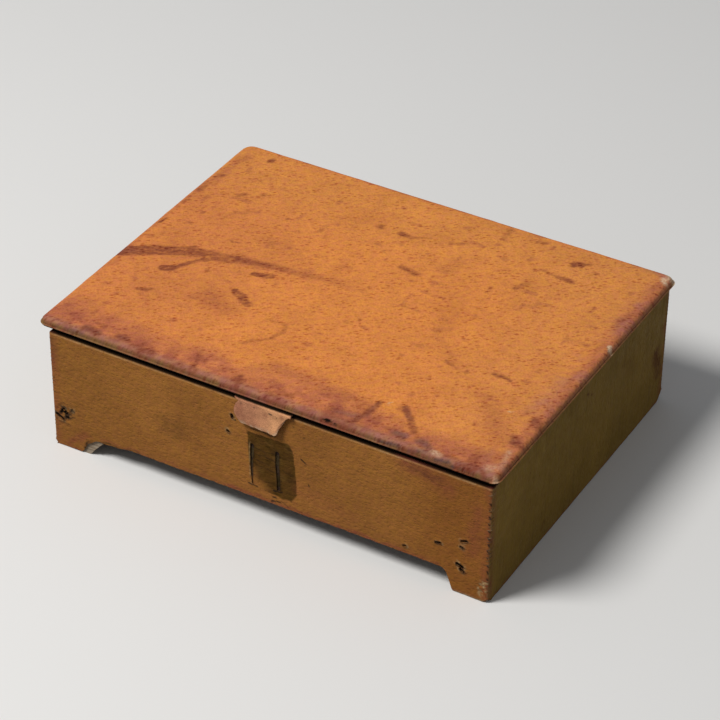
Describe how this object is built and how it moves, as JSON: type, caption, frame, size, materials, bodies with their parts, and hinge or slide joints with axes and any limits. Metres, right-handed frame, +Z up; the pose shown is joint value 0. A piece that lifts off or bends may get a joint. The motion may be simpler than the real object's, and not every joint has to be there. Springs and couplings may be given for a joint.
{
  "type": "deed box",
  "caption": "Low leather-covered wooden box on bracket feet, with a thin overhanging hinged lid and the stub of a closing strap, for papers and keepsakes.",
  "frame": {"origin": "on the rest plane, below the middle of the case", "axes": "+X to the right as seen from the front, +Y to the back, +Z up"},
  "size_m": [0.34, 0.2635, 0.1012],
  "materials": {
    "lid_pigskin": "waxed, worn",
    "case_pigskin": "waxed, darkened",
    "strap_leather": "worn, bare",
    "softwood": "unfinished, greyed",
    "lining_paper": "matt",
    "hinge_brass": "dulled",
    "brad_iron": "dark, rusted"
  },
  "bodies": {
    "case": {"front_board": "softwood", "back_board": "softwood", "left_board": "softwood", "right_board": "softwood", "floor_board": "softwood", "foot_block_front_left": "softwood", "foot_block_front_right": "softwood", "foot_block_back_left": "softwood", "foot_block_back_right": "softwood", "front_leather": "case_pigskin", "back_leather": "case_pigskin", "left_leather": "case_pigskin", "right_leather": "case_pigskin", "front_lining": "lining_paper", "back_lining": "lining_paper", "left_lining": "lining_paper", "right_lining": "lining_paper", "floor_lining": "lining_paper", "corner_brads": "brad_iron", "floor_brads": "brad_iron", "hinge_case_leaf_left": "hinge_brass", "hinge_case_leaf_right": "hinge_brass", "hinge_pin_left": "hinge_brass", "hinge_pin_right": "hinge_brass", "case_hinge_screws": "hinge_brass"},
    "lid": {"lid_board": "softwood", "lid_leather": "lid_pigskin", "lid_lining": "lining_paper", "hinge_lid_leaf_left": "hinge_brass", "hinge_lid_leaf_right": "hinge_brass", "lid_hinge_screws": "hinge_brass", "strap_anchor": "strap_leather", "strap_tacks": "brad_iron"},
    "tab": {"strap_tab": "strap_leather"}
  },
  "joints": [
    {"name": "lid_hinge", "type": "hinge", "parent": "case", "child": "lid", "pos_m": [0, 0.128, 0.0927], "axis": [-1, 0, 0], "range_deg": [0, 115]},
    {"name": "tab_flex", "type": "hinge", "parent": "lid", "child": "tab", "pos_m": [0, -0.1296, 0.09325], "axis": [-1, 0, 0], "range_deg": [0, 60], "stiffness_Nm_per_rad": 0.005}
  ]
}
